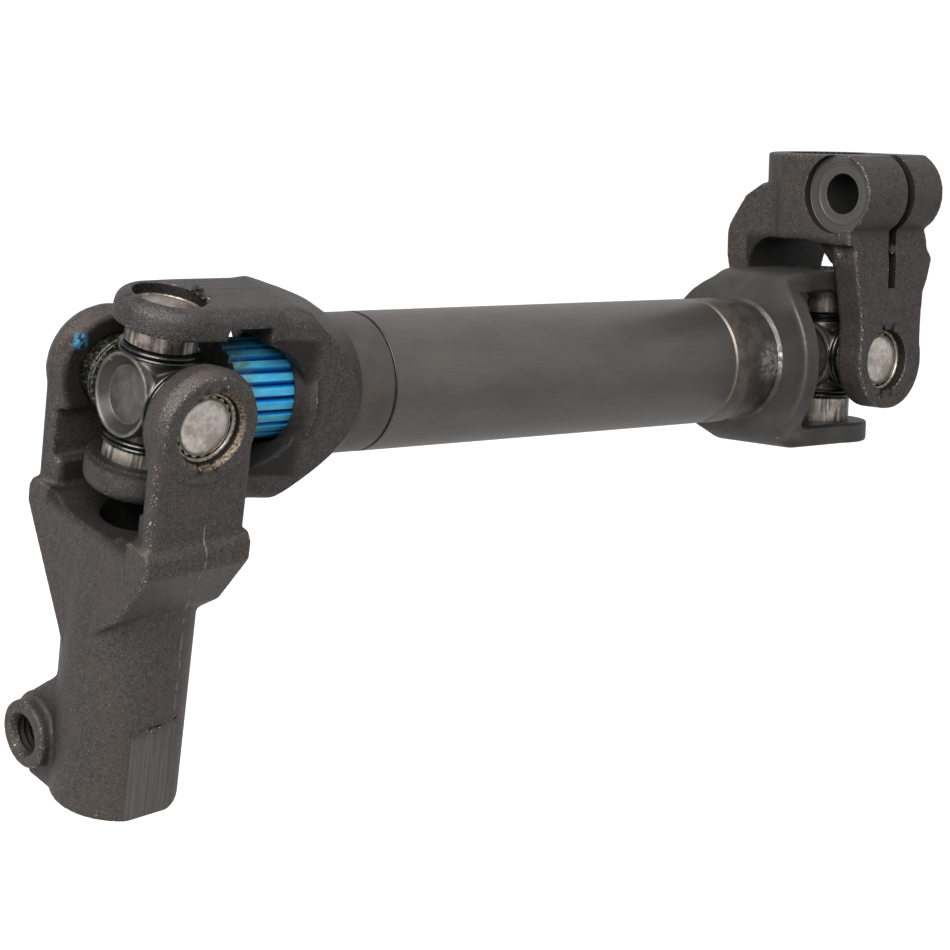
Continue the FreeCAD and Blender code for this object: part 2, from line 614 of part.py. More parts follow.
def tube_and_shaft():
    """The tube with its inner spline, and the coated shaft that slides in it."""
    sleeve = rod("sleeve", "tube_radius", "tube_length", "x", x=TUBE_START)
    hollow = spline_bar("sleeve_spline", "coat + spline_play", "tube_length + 2", "-tube_length / 2 - 1")
    node("outer_tube", cut("sleeve_cut", sleeve, [hollow]))
    core = spline_bar("steel_spline", "0", "coat_length", SHAFT_START)
    shank_start = SHAFT_START + " + coat_length"
    shank = rod("shank", "shank_radius", "(%s) - (%s)" % (NECK_START, shank_start), "x", x=shank_start)
    head = rod("shaft_head", "neck_radius", "neck_width", "x", x=NECK_START)
    spigot = rod("shaft_spigot", "strap_hub_bore", "strap_thickness", "x", x=STRAP_START)
    node("splined_shaft", fuse("shaft_whole", [core, shank, head, spigot]))
    coat_outer = spline_bar("coat_outer", "coat", "coat_length", SHAFT_START)
    coat_inner = spline_bar("coat_inner", "0", "coat_length + 2", SHAFT_START + " - 1")
    node("spline_coat", cut("coat_cut", coat_outer, [coat_inner]))
    ring = rod("ring", "tube_radius", "ring_width", "x", x=RING_START)
    hole = rod("ring_hole", "shank_radius", "ring_width + 2", "x", x=RING_START + " - 1")
    node("stop_ring", cut("ring_cut", ring, [hole]))
    bead = turned("bead", [
        ("neck_radius", "strap_depth"),
        ("neck_radius + bead_width", "strap_depth"),
        ("neck_radius", "strap_depth + bead_width"),
    ])
    node("weld_bead", bead, PLACE % (UPPER_X, "rotation(vector(0; 1; 0); -90)"))


def cross(name, placement):
    """A cross: hub with a recessed round face each side and four trunnions."""
    length = "cup_face - cup_floor - end_play"
    hub = rod(name + "_hub", "hub_radius", "2 * hub_half", "x", x="-hub_half")
    solids = [hub]
    for axis in ("y", "z"):
        root = {axis: "-root_length"}
        pin = {axis: "-(%s)" % length}
        solids.append(rod(name + "_root_" + axis, "root_radius", "2 * root_length", axis, **root))
        solids.append(rod(name + "_pin_" + axis, "trunnion_radius", "2 * (%s)" % length, axis, **pin))
    left = cone(name + "_recess_left", "recess_radius", "recess_floor", "recess_depth", "x", x="-hub_half")
    right = cone(name + "_recess_right", "recess_floor", "recess_radius", "recess_depth", "x",
                 x="hub_half - recess_depth")
    node(name, cut(name + "_cut", fuse(name + "_solid", solids), [left, right]), placement)


def bearing(joint, side, centre):
    """A cup with its needles and the seal at its mouth, on one arm of a cross."""
    placement = centre + " * placement(vector(0; 0; 0); %s)" % BEARING_TURNS[side]
    inner = "cup_radius - cup_wall"
    cup = turned("%s_cup_%s_body" % (joint, side), [
        (inner, "cup_mouth"),
        ("cup_radius", "cup_mouth"),
        ("cup_radius", "cup_face - cup_edge"),
        ("cup_radius - cup_edge", "cup_face"),
        ("0", "cup_face"),
        ("0", "cup_face - cup_floor"),
        (inner, "cup_face - cup_floor"),
    ])
    node("%s_cup_%s" % (joint, side), cup, placement)
    lip = "cup_mouth - seal_gap"
    seal = turned("%s_seal_%s_body" % (joint, side), [
        ("trunnion_radius", "root_length"),
        ("seal_radius - 0.4", "root_length"),
        ("seal_radius", "root_length + 0.5"),
        ("seal_radius - 0.7", "root_length + 1.0"),
        ("seal_radius - 0.7", "root_length + 1.2"),
        ("seal_radius", lip + " - 0.5"),
        ("seal_radius - 0.4", lip),
        ("trunnion_radius", lip),
    ])
    node("%s_seal_%s" % (joint, side), seal, placement)
    count = int(number("needle_count"))
    radius = "(cup_radius - cup_wall - trunnion_radius) / 2 - running"
    pitch = "(cup_radius - cup_wall + trunnion_radius) / 2"
    needles = []
    for i in range(count):
        angle = "%d * 360 deg / needle_count" % i
        needles.append(rod("%s_needle_%s_%d" % (joint, side, i), radius, "needle_length", "z",
                           x="(%s) * cos(%s)" % (pitch, angle), y="(%s) * sin(%s)" % (pitch, angle),
                           z="cup_face - cup_floor - 0.2 - needle_length"))
    bundle = doc.addObject("Part::Compound", "%s_needles_%s_bundle" % (joint, side))
    bundle.Links = needles
    node("%s_needles_%s" % (joint, side), bundle, placement)


gear_fork()
tube_fork()
column_fork()
strap_fork()
tube_and_shaft()
cross("lower_cross", LOWER_CROSS)
cross("upper_cross", UPPER_CROSS)
for side in BEARING_TURNS:
    bearing("lower", side, LOWER_CROSS)
    bearing("upper", side, UPPER_CROSS)
doc.recompute()

for obj in doc.Objects:
    if "Invalid" in obj.State or "Error" in obj.State:
        raise SystemExit("%s failed: %s" % (obj.Label, obj.State))
for obj in nodes:
    if obj.Shape.isNull() or not obj.Shape.isValid():
        raise SystemExit("%s has no valid shape" % obj.Label)
os.makedirs("parts", exist_ok=True)
for obj in nodes:
    obj.Shape.exportStep("parts/%s.step" % obj.Label)
    box = obj.Shape.BoundBox
    print("%-24s solids %3d volume %10.2f  x %7.2f..%7.2f" % (
        obj.Label, len(obj.Shape.Solids), obj.Shape.Volume, box.XMin, box.XMax))
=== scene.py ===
from math import cos, pi, radians, sin

import bpy
from mathutils import Matrix, Vector


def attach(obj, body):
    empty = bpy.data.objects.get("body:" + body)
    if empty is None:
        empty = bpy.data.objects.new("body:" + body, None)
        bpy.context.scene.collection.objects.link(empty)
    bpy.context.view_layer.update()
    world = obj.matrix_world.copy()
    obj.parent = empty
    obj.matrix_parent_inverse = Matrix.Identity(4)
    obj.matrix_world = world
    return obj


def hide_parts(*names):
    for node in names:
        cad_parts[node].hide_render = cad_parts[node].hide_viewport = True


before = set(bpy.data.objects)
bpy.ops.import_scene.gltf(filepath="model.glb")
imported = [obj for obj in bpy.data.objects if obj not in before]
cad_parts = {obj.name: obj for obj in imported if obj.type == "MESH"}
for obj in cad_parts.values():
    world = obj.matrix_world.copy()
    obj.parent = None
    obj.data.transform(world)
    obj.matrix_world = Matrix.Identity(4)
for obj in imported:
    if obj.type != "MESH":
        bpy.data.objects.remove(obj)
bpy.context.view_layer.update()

# The picture is taken from the steering gear's side, a little above the shaft.
bpy.ops.object.select_all(action="DESELECT")
bpy.ops.object.camera_add(location=(-0.46462, -0.43099, 0.187), rotation=(1.23339, -0.22121, -0.73503))
camera = bpy.context.object
camera.data.lens = 103.289
camera.data.sensor_width = 36
camera.data.clip_start = 0.02
bpy.context.scene.camera = camera


# Gear fork: a steel drop forging, shot blasted and dark with scale. Two padded ears run down into
# square shoulders and a split barrel, whose lug takes a pinch bolt. Ear holes, socket, thread and the
# shaved patch beside the mouth are machined afterwards and so have crisp edges.
MM = 0.001
LOWER = Matrix.Translation((-114 * MM, 0, 0))
GEAR = LOWER @ Matrix.Rotation(radians(-6.5), 4, "Y")
SKIN = 0.45
EAR_FACE = 22.3
HOLE = 8.0


def only(piece):
    """Make a piece the one that the next operators act on."""
    bpy.ops.object.select_all(action="DESELECT")
    bpy.context.view_layer.objects.active = piece
    piece.select_set(True)
    return piece


def laid(piece, place):
    """Put a piece in its place, in its mesh."""
    only(piece)
    piece.matrix_world = place @ piece.matrix_world
    bpy.ops.object.transform_apply(location=True, rotation=True, scale=True)
    return piece


def finished_with(piece, kind, **settings):
    """Put one modifier on a piece and apply it."""
    only(piece)
    modifier = piece.modifiers.new(kind.title(), kind)
    for name, value in settings.items():
        setattr(modifier, name, value)
    bpy.ops.object.modifier_apply(modifier=modifier.name)
    return piece


def edited(piece, *steps):
    """Run edit mode steps on the whole of a piece."""
    only(piece)
    bpy.ops.object.mode_set(mode="EDIT")
    bpy.ops.mesh.select_mode(type="VERT")
    bpy.ops.mesh.select_all(action="SELECT")
    for step in steps:
        step()
    bpy.ops.object.mode_set(mode="OBJECT")
    return piece


def weld():
    bpy.ops.mesh.remove_doubles(threshold=0.003 * MM)


def outwards():
    bpy.ops.mesh.normals_make_consistent(inside=False)


def blank(node, name, place):
    """A copy of a forging with its loose triangles joined up, brought back to its own frame."""
    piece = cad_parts[node].copy()
    piece.data = piece.data.copy()
    piece.parent = None
    piece.matrix_world = Matrix()
    piece.name = name
    piece.data.materials.clear()
    bpy.context.collection.objects.link(piece)
    edited(piece, weld)
    return laid(piece, place.inverted())


def rod(radius, start, end, around=96):
    """A round bar between two places."""
    start, end = Vector(start) * MM, Vector(end) * MM
    along = end - start
    bpy.ops.object.select_all(action="DESELECT")
    bpy.ops.mesh.primitive_cylinder_add(vertices=around, radius=radius * MM, depth=along.length,
                                        location=(start + end) / 2,
                                        rotation=along.to_track_quat("Z", "Y").to_euler())
    return laid(bpy.context.object, Matrix())


def block(low, high):
    """A box between two corners."""
    low, high = Vector(low) * MM, Vector(high) * MM
    bpy.ops.object.select_all(action="DESELECT")
    bpy.ops.mesh.primitive_cube_add(size=1, location=(low + high) / 2, scale=high - low)
    return laid(bpy.context.object, Matrix())


def joined(piece, *others):
    """Make several meshes one object."""
    only(piece)
    for other in others:
        other.select_set(True)
    bpy.ops.object.join()
    return piece


def forged(piece, passes=9):
    """Give a blank one even skin and round its edges all over, as a forging's are."""
    finished_with(piece, "REMESH", mode="VOXEL", voxel_size=SKIN * MM, use_smooth_shade=True)
    return finished_with(piece, "SMOOTH", factor=0.5, iterations=passes)


def machined(piece, *tools):
    """Cut tools out of a piece with crisp edges."""
    for tool in tools:
        finished_with(piece, "BOOLEAN", object=tool, operation="DIFFERENCE", solver="MANIFOLD")
        bpy.data.objects.remove(tool)
    return piece


def turned(name, profile, place=Matrix(), around=96, solid=False):
    """Draw a ring out through a profile of radius and height, about Z, into a closed piece."""
    radius, height = profile[0]
    bpy.ops.object.select_all(action="DESELECT")
    bpy.ops.mesh.primitive_circle_add(vertices=around, radius=radius * MM, location=(0, 0, height * MM),
                                      fill_type="NGON" if solid else "NOTHING")
    piece = laid(bpy.context.object, Matrix())
    piece.name = name

    def draw():
        now, level = radius, height
        for wide, high in profile[1:]:
            rise = {"value": (0, 0, (high - level) * MM)}
            if solid:
                bpy.ops.mesh.extrude_region_move(TRANSFORM_OT_translate=rise)
            else:
                bpy.ops.mesh.extrude_edges_move(TRANSFORM_OT_translate=rise)
            bpy.ops.transform.resize(value=(wide / now, wide / now, 1), center_override=(0, 0, 0))
            now, level = wide, high
        bpy.ops.mesh.select_all(action="SELECT")

    edited(piece, draw, weld, outwards)
    only(piece)
    bpy.ops.object.shade_smooth_by_angle(angle=radians(32))
    return laid(piece, place)


def ear_plugs(inner):
    """Fill the ear holes of a blank, so that the rounding passes them by."""
    return [rod(HOLE + 1, (0, side * inner, 0), (0, side * EAR_FACE, 0)) for side in (-1, 1)]


def ear_drill(face=EAR_FACE, chamfer=0.3, depth=0.3):
    """A drill through both ears that breaks the edge at each outer face."""
    wide = HOLE + chamfer * (depth + 3) / depth
    return turned("drill", [(wide, -face - 3), (HOLE, depth - face), (HOLE, face - depth), (wide, face + 3)],
                  Matrix.Rotation(radians(90), 4, "X"), solid=True)


def scattered(piece, spots):
    """Lay small ragged lumps of metal on a piece, each with its place, size, normal and squash."""
    burrs = []
    for number, (place, size, normal, squash) in enumerate(spots):
        bpy.ops.object.select_all(action="DESELECT")
        bpy.ops.mesh.primitive_ico_sphere_add(subdivisions=2, radius=size * MM)
        burr = bpy.context.object
        for index, corner in enumerate(burr.data.vertices):
            corner.co *= 1 + 0.3 * sin(index * 7.3 + number * 2.1) + 0.15 * cos(index * 3.7 + number)
            corner.co.z *= squash
        turn = Vector(normal).to_track_quat("Z", "Y").to_matrix().to_4x4()
        burrs.append(laid(burr, Matrix.Translation(Vector(place) * MM) @ turn))
    return joined(piece, *burrs)


def closed_up(piece, place, body, node):
    """Smooth a finished forging's shading, put it in place and give it to the frame."""
    only(piece)
    bpy.ops.object.shade_smooth_by_angle(angle=radians(32))
    laid(piece, place)
    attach(piece, body)
    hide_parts(node)


class Wire:
    """An output of a node: sums on it become Math nodes, and node() adds any other kind."""

    def __init__(self, tree, socket=None):
        self.tree = tree
        self.socket = socket

    def node(self, kind, out=0, sockets=None, **settings):
        """Add a node: its settings first, then the values or links of its sockets."""
        made = self.tree.nodes.new(kind)
        for name, value in settings.items():
            setattr(made, name, value)
        for name, value in (sockets or {}).items():
            if isinstance(value, Wire):
                self.tree.links.new(value.socket, made.inputs[name])
            else:
                made.inputs[name].default_value = value
        return Wire(self.tree, made.outputs[out] if made.outputs else None)

    def maths(self, operation, *values):
        return self.node("ShaderNodeMath", operation=operation, sockets=dict(enumerate(values)))

    def __add__(self, other):
        return self.maths("ADD", self, other)

    def __sub__(self, other):
        return self.maths("SUBTRACT", self, other)

    def __rsub__(self, other):
        return self.maths("SUBTRACT", other, self)

    def __mul__(self, other):
        return self.maths("MULTIPLY", self, other)

    __radd__ = __add__
    __rmul__ = __mul__

    def between(self, low, high):
        """A soft step from 0 at low to 1 at high."""
        return self.node("ShaderNodeMapRange", interpolation_type="SMOOTHSTEP",
                         sockets={"Value": self, "From Min": low, "From Max": high})

    def band(self, middle, half):
        """1 within half of a middle value, falling off softly to 0."""
        return 1 - (self - middle).maths("ABSOLUTE", self - middle).between(half * 0.5, half)

    def colours(self, first, second):
        """Mix two colours by this mask."""
        return self.node("ShaderNodeMix", out=2, data_type="RGBA", sockets={0: self, 6: first, 7: second})

    def where(self, place=None):
        """Object coordinates in millimetres, in a fork's own frame if a place is given."""
        spot = self.node("ShaderNodeTexCoord", out="Object")
        turn = (place or Matrix()).inverted()
        return spot.node("ShaderNodeMapping", sockets={
            "Vector": spot, "Location": turn.translation / MM, "Rotation": turn.to_euler(),
            "Scale": (1 / MM, 1 / MM, 1 / MM)})

    def part(self, axis):
        return self.node("ShaderNodeSeparateXYZ", out=axis, sockets={0: self})

    def stretched(self, x, y, z):
        return self.node("ShaderNodeVectorMath", operation="MULTIPLY", sockets={0: self, 1: (x, y, z)})

    def noise(self, size, detail=3.0, roughness=0.55, seed=0.0):
        """Noise with features of about a size, in millimetres."""
        spot = self.node("ShaderNodeVectorMath", operation="ADD", sockets={0: self, 1: (seed, seed, seed)})
        return self.node("ShaderNodeTexNoise", sockets={
            "Vector": spot, "Scale": 1 / size, "Detail": detail, "Roughness": roughness})

    def edges(self):
        """How convex the surface is: about 0.5 where it is flat."""
        return self.node("ShaderNodeNewGeometry", out="Pointiness")

    def painted_hollow_shade(self, reach):
        """Painted shade, with some grime: 1 deep in a hollow of the piece, 0 in the open."""
        open_air = self.node("ShaderNodeAmbientOcclusion", out="AO", samples=6, only_local=True,
                             sockets={"Distance": reach * MM})
        return 1 - open_air.between(0.35, 0.95)

    def near(self, place, reach):
        """1 at a place, falling off to 0 at a reach, in millimetres."""
        away = self.node("ShaderNodeVectorMath", out="Value", operation="DISTANCE",
                         sockets={0: self, 1: place})
        return 1 - away.between(reach * 0.4, reach)

    def bumped(self, height, distance, strength):
        return self.node("ShaderNodeBump", sockets={
            "Height": height, "Distance": distance * MM, "Strength": strength})


def tone(red, green, blue):
    """A colour from its values in a picture, 0 to 255."""
    def linear(value):
        value = value / 255
        return value / 12.92 if value <= 0.04045 else ((value + 0.055) / 1.055) ** 2.4
    return linear(red), linear(green), linear(blue), 1.0


def finish(name):
    """A new material: its tree, ready for nodes."""
    material = bpy.data.materials.new(name)
    material.use_nodes = True
    material.node_tree.nodes.clear()
    return material, Wire(material.node_tree)


def coated(wire, material, **sockets):
    """Close a material with its surface shader."""
    sockets = {name.replace("_", " "): value for name, value in sockets.items()}
    shader = wire.node("ShaderNodeBsdfPrincipled", sockets=sockets)
    wire.node("ShaderNodeOutputMaterial", sockets={"Surface": shader})
    return material


def painted(piece, material):
    """Give a piece one material all over."""
    piece.data.materials.clear()
    piece.data.materials.append(material)
    return piece


def forging(name, light, dark, place, inner, floor, marks=None):
    """Blasted and scaled steel: fine grain, dark pits and bright flecks on the edges, with painted shade in
    the hollows, creases and ear holes and between the arms, and grime in the hollows.
    """
    material, wire = finish(name)
    spot = wire.where(place)
    grain = spot.noise(0.4, 4, 0.72)
    lumps = spot.noise(1.3, 3, 0.6, 7.1)
    patches = spot.noise(11, 4, 0.6, 3.3)
    sparks = spot.noise(0.5, 2, 0.6, 11.7)
    edge = wire.edges()
    rubbed = edge.between(0.505, 0.545)
    shade_and_grime = wire.painted_hollow_shade(26)
    flecks = sparks.between(0.6, 0.66) * (0.1 + 0.75 * rubbed) * (1 - shade_and_grime)
    colour = (grain * 0.75 + lumps * 0.25).between(0.34, 0.66).colours(tone(*dark), tone(*light))
    warm = tuple(value * factor for value, factor in zip(light, (0.9, 0.84, 0.81)))
    colour = (patches.between(0.5, 0.66) * 0.6).colours(colour, tone(*warm))
    # Dark pits in the grain, and painted shade in concave creases.
    pits = (1 - grain.between(0.32, 0.42)) * 0.6 + (1 - edge.between(0.44, 0.495)) * 0.35
    colour = pits.maths("MINIMUM", pits, 1.0).colours(colour, tone(30, 27, 25))
    colour = flecks.colours(colour, tone(190, 184, 176))
    # Painted shade with grime, nearly black, deep in the piece's hollows.
    colour = (shade_and_grime * 0.92).colours(colour, tone(11, 10, 9))
    x, y, z = spot.part(0), spot.part(1), spot.part(2)
    # Painted shade on the inner faces of the arms and the throat floor between them.
    inside = (1 - y.maths("ABSOLUTE", y).between(inner, inner + 1.2)) * z.between(floor - 1.5, floor + 2)
    colour = (inside * (0.6 + patches * 0.4)).colours(colour, tone(12, 11, 10))
    # Painted shade on the wall of each ear hole, darkening it nearly black.
    painted_hole_shade = 1 - (x * x + z * z).maths("SQRT", x * x + z * z).between(8.02, 8.12)
    colour = (painted_hole_shade * 0.8).colours(colour, tone(20, 17, 15))
    across, along = x.maths("ABSOLUTE", x) - 2.1, z.maths("ABSOLUTE", z) - 9.0
    struck = 1 - (across * across + along * along).between(0.3, 1.4)
    struck = struck * y.maths("ABSOLUTE", y).between(EAR_FACE - 1.2, EAR_FACE - 0.9)
    colour = (struck * sparks.between(0.42, 0.52) * 0.85).colours(colour, tone(22, 19, 17))
    height = grain * 0.9 + lumps * 0.8 + sparks * 0.3
    if marks:
        height, colour = marks(spot, height, colour)
    return coated(wire, material, Base_Color=colour, Metallic=0.5,
                  Roughness=(0.54 - grain * 0.2 - flecks * 0.15 + shade_and_grime * 0.2 + inside * 0.15),
                  Normal=wire.bumped(height, 0.2, 0.9))


PINCH = (13.4, -86.4)
PATCH_FACE = -13.2

gear = blank("gear_yoke", "gear_fork_forging", GEAR)
gear = joined(gear, *ear_plugs(17.3), rod(9.3, (0, 0, -97.9), (0, 0, -29.5)),
              rod(5.4, (-16.5, *PINCH), (-1.6, *PINCH)),
              rod(6.2, (1.6, *PINCH), (16.5, *PINCH)))
forged(gear, 12)


def toothed(name, teeth, root, tip, start, end, crest=0.5, place=Matrix()):
    """A bar along Z with straight teeth, each a crest with sloping flanks."""
    parts = 8
    bpy.ops.object.select_all(action="DESELECT")
    bpy.ops.mesh.primitive_circle_add(vertices=teeth * parts, radius=tip * MM, fill_type="NGON",
                                      location=(0, 0, start * MM))
    piece = laid(bpy.context.object, Matrix())
    piece.name = name
    half_crest = crest * parts / 2
    for corner in piece.data.vertices:
        away = abs((corner.index + parts / 2) % parts - parts / 2)
        depth = min(max((away - half_crest) / (parts / 2 - half_crest) * 1.8, 0), 1)
        scale = 1 - depth * (1 - root / tip)
        corner.co.x *= scale
        corner.co.y *= scale

    def draw():
        bpy.ops.mesh.extrude_region_move(TRANSFORM_OT_translate={"value": (0, 0, (end - start) * MM)})
        bpy.ops.mesh.select_all(action="SELECT")

    edited(piece, draw, outwards)
    return laid(piece, place)


def threaded(radius, depth, pitch, start, end, y, z):
    """A tap for a threaded hole along X, with a countersink at its start."""
    length = end - start
    profile = [(radius + 1.2, -0.2), (radius + depth, 0.3)]
    for turn in range(int((length - 1) / pitch)):
        profile += [(radius, 1 + (turn + 0.5) * pitch), (radius + depth, 1 + (turn + 1) * pitch)]
    profile += [(radius, length)]
    place = Matrix.Translation((start * MM, y * MM, z * MM)) @ Matrix.Rotation(radians(90), 4, "Y")
    return turned("tap", profile, place, 48, solid=True)


def stake_notches(spots, face):
    """Punched notches that hold a cup in its ear: small cuts that slant in to the hole."""
    notches = []
    for x, z in spots:
        side = 1 if face > 0 else -1
        notches.append(rod(0.7, (x, face + side * 0.8, z), (x * 0.8, face - side * 1.2, z * 0.84), 8))
    return notches


patch = block((-8.6, -40, -99), (8.6, PATCH_FACE, -74.9))
for corner in patch.data.vertices:
    if corner.co.z > -80 * MM:
        corner.co.z += corner.co.x * 0.16
STAKES = [(-2.0, 9.0), (2.2, 9.1), (-2.1, -9.0), (2.0, -9.1)]
machined(gear, ear_drill(EAR_FACE, 0.95, 1.2), toothed("broach", 36, 9.1, 8.5, -99, -50),
         rod(8.5, (0, 0, -51), (0, 0, -20)),
         threaded(4.3, 0.65, 1.5, -16.6, 0.5, *PINCH),
         rod(5.25, (0.5, *PINCH), (18, *PINCH), 48), patch,
         rod(0.32, (-7.0, -14.1, -75.9), (-1.5, -14.25, -74.75), 12),
         rod(0.36, (-1.5, -14.25, -74.75), (7.4, -13.6, -73.6), 12),
         *stake_notches(STAKES, -EAR_FACE), *stake_notches(STAKES, EAR_FACE))
burrs = []
for x, z in STAKES:
    for face in (-EAR_FACE, EAR_FACE):
        burrs += [((x + 0.75, face, z * 1.04), 0.4, (0, face, 0), 0.35),
                  ((x * 0.9, face, z * 0.95), 0.35, (0, face, 0), 0.4)]
scattered(gear, burrs + [
    ((-6.2, -13.95, -76.0), 0.5, (0, -1, 0), 0.3), ((-3.6, -14.1, -75.5), 0.55, (0, -1, 0.4), 0.35),
    ((-1.2, -14.25, -75.1), 0.7, (0, -1, 0.6), 0.4), ((0.4, -14.2, -74.9), 0.45, (0, -1, 0.6), 0.45),
    ((3.0, -13.95, -74.6), 0.4, (0, -1, 0), 0.3), ((5.6, -13.75, -74.3), 0.5, (0, -1, 0), 0.3)])


def gear_marks(spot, height, colour):
    """The flash line down the front, and the broach lines and grey sheen of the shaved patch."""
    x, y, z = spot.part(0), spot.part(1), spot.part(2)
    wander = spot.noise(5, 2, 0.5, 5.0)
    breaks = spot.noise(1.6, 2, 0.5, 2.0).between(0.42, 0.54)
    upper = (x - 2.6 + wander * 1.6).band(0.0, 0.3) * (z * -1).between(21, 24) * (z + 43).between(0, 2)
    lower = (x - 5.2 + wander * 1.6).band(0.0, 0.3) * (z * -1).between(43, 45)
    line = (upper + lower) * (1 - y.between(-10, -8)) * breaks
    height = height + line * 0.9
    colour = (line * 0.4).colours(colour, tone(176, 170, 160))
    shaved = (1 - (y - PATCH_FACE).between(0.01, 0.06)) * (y - PATCH_FACE + 0.4).between(0.0, 0.2)
    shaved = shaved * (z * -1).between(74.6, 75.4) * (1 - x.maths("ABSOLUTE", x).between(8.3, 8.6))
    scores = spot.stretched(1, 1, 0.02).noise(0.3, 3, 0.6, 1.0)
    height = shaved.node("ShaderNodeMix", sockets={0: shaved, 2: height, 3: scores * 0.7})
    scored = scores.between(0.35, 0.65).colours(tone(80, 76, 73), tone(100, 96, 92))
    scored = ((x + 8.3).band(0.0, 0.5) * 0.7).colours(scored, tone(150, 146, 140))
    colour = (shaved * 0.9).colours(colour, scored)
    ring = ((x * x + z * z).maths("SQRT", x * x + z * z)).band(8.4, 0.6)
    ring = ring * y.maths("ABSOLUTE", y).between(EAR_FACE - 1.4, EAR_FACE - 1.0)
    tan = spot.noise(0.7, 3, 0.7, 8.0).between(0.42, 0.56).colours(tone(40, 33, 28), tone(140, 122, 102))
    colour = (ring * 0.65).colours(colour, tan)
    greased = spot.near((-8.0, 14.6, 5.0), 6.0) * spot.noise(2.2, 3, 0.6, 6.0).between(0.4, 0.5)
    colour = (greased * 0.85).colours(colour, tone(14, 14, 11))
    smear = spot.near((-8.6, 15.0, 7.6), 2.4) * spot.noise(1.1, 3, 0.6, 4.0).between(0.44, 0.52)
    return height, (smear * 0.85).colours(colour, tone(52, 122, 156))


gear_steel = forging("scaled_steel_gear_fork", (86, 80, 76), (47, 43, 41), GEAR, 14.6, -29.5, gear_marks)
painted(gear, gear_steel)
closed_up(gear, GEAR, "gear_fork", "gear_yoke")


# Tube fork: the same kind of forging, larger and smoother at its back. Its collar is turned to the
# tube's own diameter and meets its end. A pocket under its upper arm clears the gear fork.
TUBE = LOWER @ Matrix.Rotation(radians(120), 4, Vector((1, -1, -1)))

tube_fork = blank("tube_yoke", "tube_fork_forging", TUBE)
joined(tube_fork, *ear_plugs(15.9), rod(13.4, (0, 0, -56.2), (0, 0, -36)),
       block((-12, 15.4, -20), (-3, 18.6, -8.2)))
forged(tube_fork, 14)
lathe = turned("lathe", [(15.95, -58), (15.95, -46.2), (16.3, -45.8), (26, -45.8), (26, -58), (15.95, -58)])
machined(tube_fork, ear_drill(), rod(12.4, (0, 0, -58), (0, 0, -27)), lathe,
         *stake_notches([(-2.0, -9.1), (2.1, -9.0)], -EAR_FACE))
scattered(tube_fork, [
    ((-1.7, 22.6, -8.3), 1.25, (0, 1, 0), 0.75), ((0.6, 22.4, -7.9), 0.7, (0.3, 1, 0), 0.4),
    ((2.0, 22.3, -7.6), 0.8, (0, 1, 0.4), 0.35), ((3.2, 22.4, -7.9), 0.55, (0.5, 1, 0), 0.35),
    ((1.2, 22.5, -7.0), 0.6, (0.6, 0.6, 0), 0.4), ((0.2, 22.3, -9.3), 0.45, (0, 1, 0), 0.3)])


def tube_fork_marks(spot, height, colour):
    """The turned collar is smooth and a little brown; a faint forging line runs along the top."""
    x, z = spot.part(0), spot.part(2)
    line = (x + 3.0).band(0.0, 0.5) * spot.part(1).between(21.4, 21.9)
    height = height + line * 0.8
    collar = (z * -1).between(45.6, 45.8)
    rings = spot.stretched(0.02, 0.02, 1).noise(0.2, 2, 0.5, 1.0)
    height = collar.node("ShaderNodeMix", sockets={0: collar, 2: height, 3: rings * 0.3})
    brown = spot.noise(5, 3, 0.6, 9.0).between(0.35, 0.7).colours(tone(76, 74, 72), tone(86, 79, 74))
    return height, collar.colours(colour, brown)


tube_fork_steel = forging("scaled_steel_tube_fork", (76, 73, 71), (39, 37, 36), TUBE, 15.2, -32.5,
                          tube_fork_marks)
painted(tube_fork, tube_fork_steel)
closed_up(tube_fork, TUBE, "tube", "tube_yoke")


# Column fork: the shorter forging at the steering column's end, with a spot face for the bolt's
# head, a broached socket and a sawn slit that runs down between its arms.
UPPER = Matrix.Translation((111 * MM, 0, 0)) @ Matrix.Rotation(radians(-16), 4, "X")
COLUMN = UPPER @ Matrix.Rotation(radians(178.8), 4, "Y")
BOLT = (-16.8, -43.8)

column = blank("column_yoke", "column_fork_forging", COLUMN)
joined(column, *ear_plugs(14.5), rod(11.2, (0, 0, -53.6), (0, 0, -32.2)),
       rod(10.85, (-2.4, *BOLT), (1.0, *BOLT)), rod(6.4, (-14.2, *BOLT), (16.8, *BOLT)),
       rod(10.85, (13.0, *BOLT), (16.9, *BOLT)),
       block((-2.4, -22.25, -27), (1.0, -14.4, -17.5)), block((-2.4, -21.6, -53.6), (1.0, -8, -27)))
scattered(column, [
    ((12.6, -13.6, -28.2), 3.1, (1, 0, 0), 0.8), ((13.2, -16.6, -26.6), 2.6, (1, -0.3, 0), 0.7),
    ((9.5, -12.6, -29.8), 2.6, (1, 0, 0), 0.9)])
forged(column, 12)
spot_face = turned("spot", [(5.25, 0), (5.25, 30.8), (5.4, 30.95), (7.4, 30.95), (7.55, 31.1), (10.2, 31.1),
                            (10.4, 31.35), (10.4, 36)],
                   Matrix.Translation(Vector((-16.6, *BOLT)) * MM) @ Matrix.Rotation(
                       radians(90), 4, "Y"), solid=True)
machined(column, ear_drill(), block((-30, -40, -60), (30, 40, -53.8)),
         toothed("broach", 40, 10.9, 10.2, -56, -14), spot_face,
         block((-2.2, -40, -56), (0.8, -6, -19)), *stake_notches(STAKES, -EAR_FACE),
         *stake_notches(STAKES, EAR_FACE))
burrs = []
for x, z in STAKES:
    for face in (-EAR_FACE, EAR_FACE):
        burrs += [((x + 0.7, face, z * 1.04), 0.4, (0, face, 0), 0.35),
                  ((x - 0.7, face, z * 1.03), 0.35, (0, face, 0), 0.4)]
scattered(column, burrs + [
    ((13.9, -18.6, -27.8), 1.5, (1, -0.6, 0), 0.6), ((13.6, -19.6, -26.0), 1.0, (1, -1, 0), 0.5),
    ((-0.7, -22.0, -29.1), 1.2, (0, -1, 0), 0.35)])


